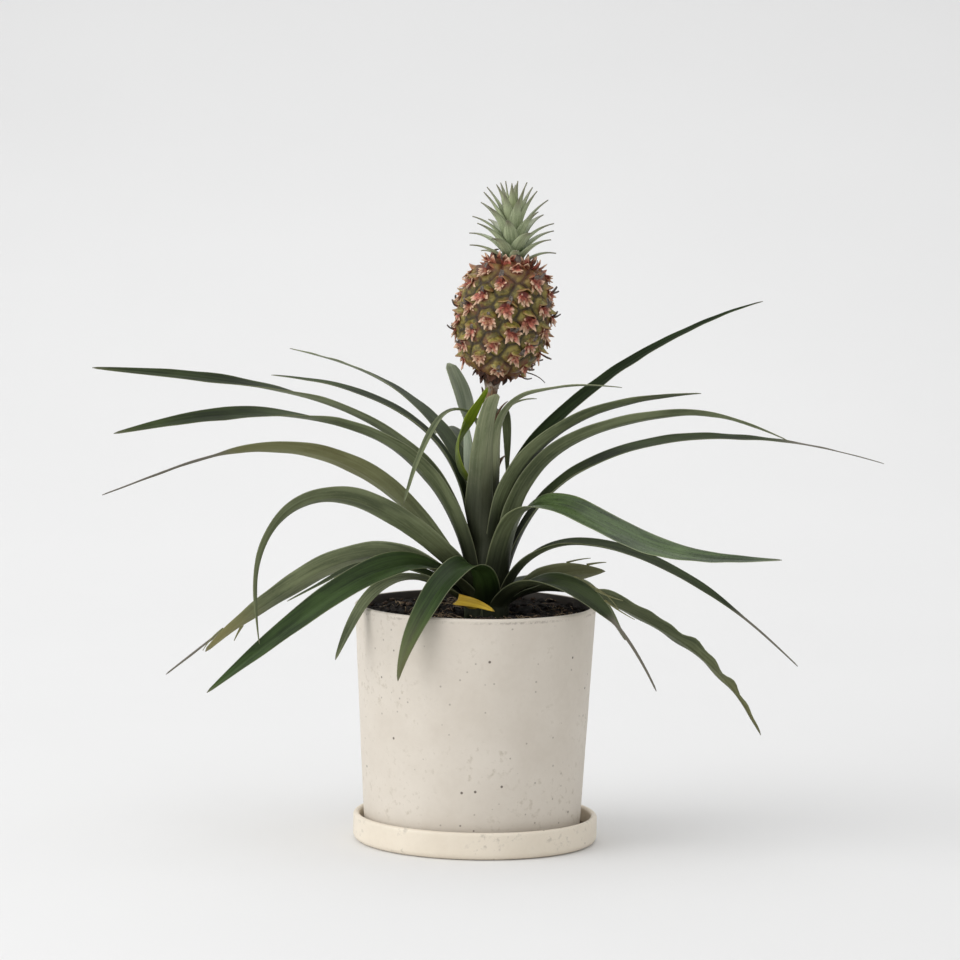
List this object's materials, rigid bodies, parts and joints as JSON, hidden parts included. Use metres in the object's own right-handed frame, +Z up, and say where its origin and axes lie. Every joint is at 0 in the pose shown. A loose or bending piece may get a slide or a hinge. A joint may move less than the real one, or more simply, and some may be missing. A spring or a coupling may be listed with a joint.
{
  "type": "potted pineapple plant",
  "caption": "Young pineapple plant with arching leaves and a small crowned fruit on a stalk, in a round ceramic pot of soil standing on a matching saucer.",
  "frame": {"origin": "centre of the saucer's flat underside, on the table", "axes": "+Z up along the pot's axis, +X to the right as seen from the front, the way the fruit leans, and -Y towards the viewer"},
  "size_m": [0.4972, 0.3918, 0.4124],
  "materials": {
    "saucer": "satin",
    "pot": "matte",
    "soil": "matte",
    "stem": "matte",
    "leaf": "satin",
    "fruit": "matte",
    "crown": "matte"
  },
  "bodies": {
    "root": {"saucer": "saucer", "pot": "pot", "potting_mix": "soil", "stem": "stem", "leaf_01": "leaf", "leaf_02": "leaf", "leaf_03": "leaf", "leaf_04": "leaf", "leaf_05": "leaf", "leaf_06": "leaf", "leaf_07": "leaf", "leaf_08": "leaf", "leaf_09": "leaf", "leaf_10": "leaf", "leaf_11": "leaf", "leaf_12": "leaf", "leaf_13": "leaf", "leaf_14": "leaf", "leaf_15": "leaf", "leaf_16": "leaf", "leaf_17": "leaf", "leaf_18": "leaf", "leaf_19": "leaf", "leaf_20": "leaf", "leaf_21": "leaf", "leaf_22": "leaf", "leaf_23": "leaf", "leaf_24": "leaf", "leaf_25": "leaf", "leaf_26": "leaf", "leaf_27": "leaf", "leaf_28": "leaf", "leaf_29": "leaf", "leaf_30": "leaf", "leaf_31": "leaf", "leaf_32": "leaf", "leaf_33": "leaf", "fruit": "fruit", "crown": "crown"}
  },
  "joints": []
}
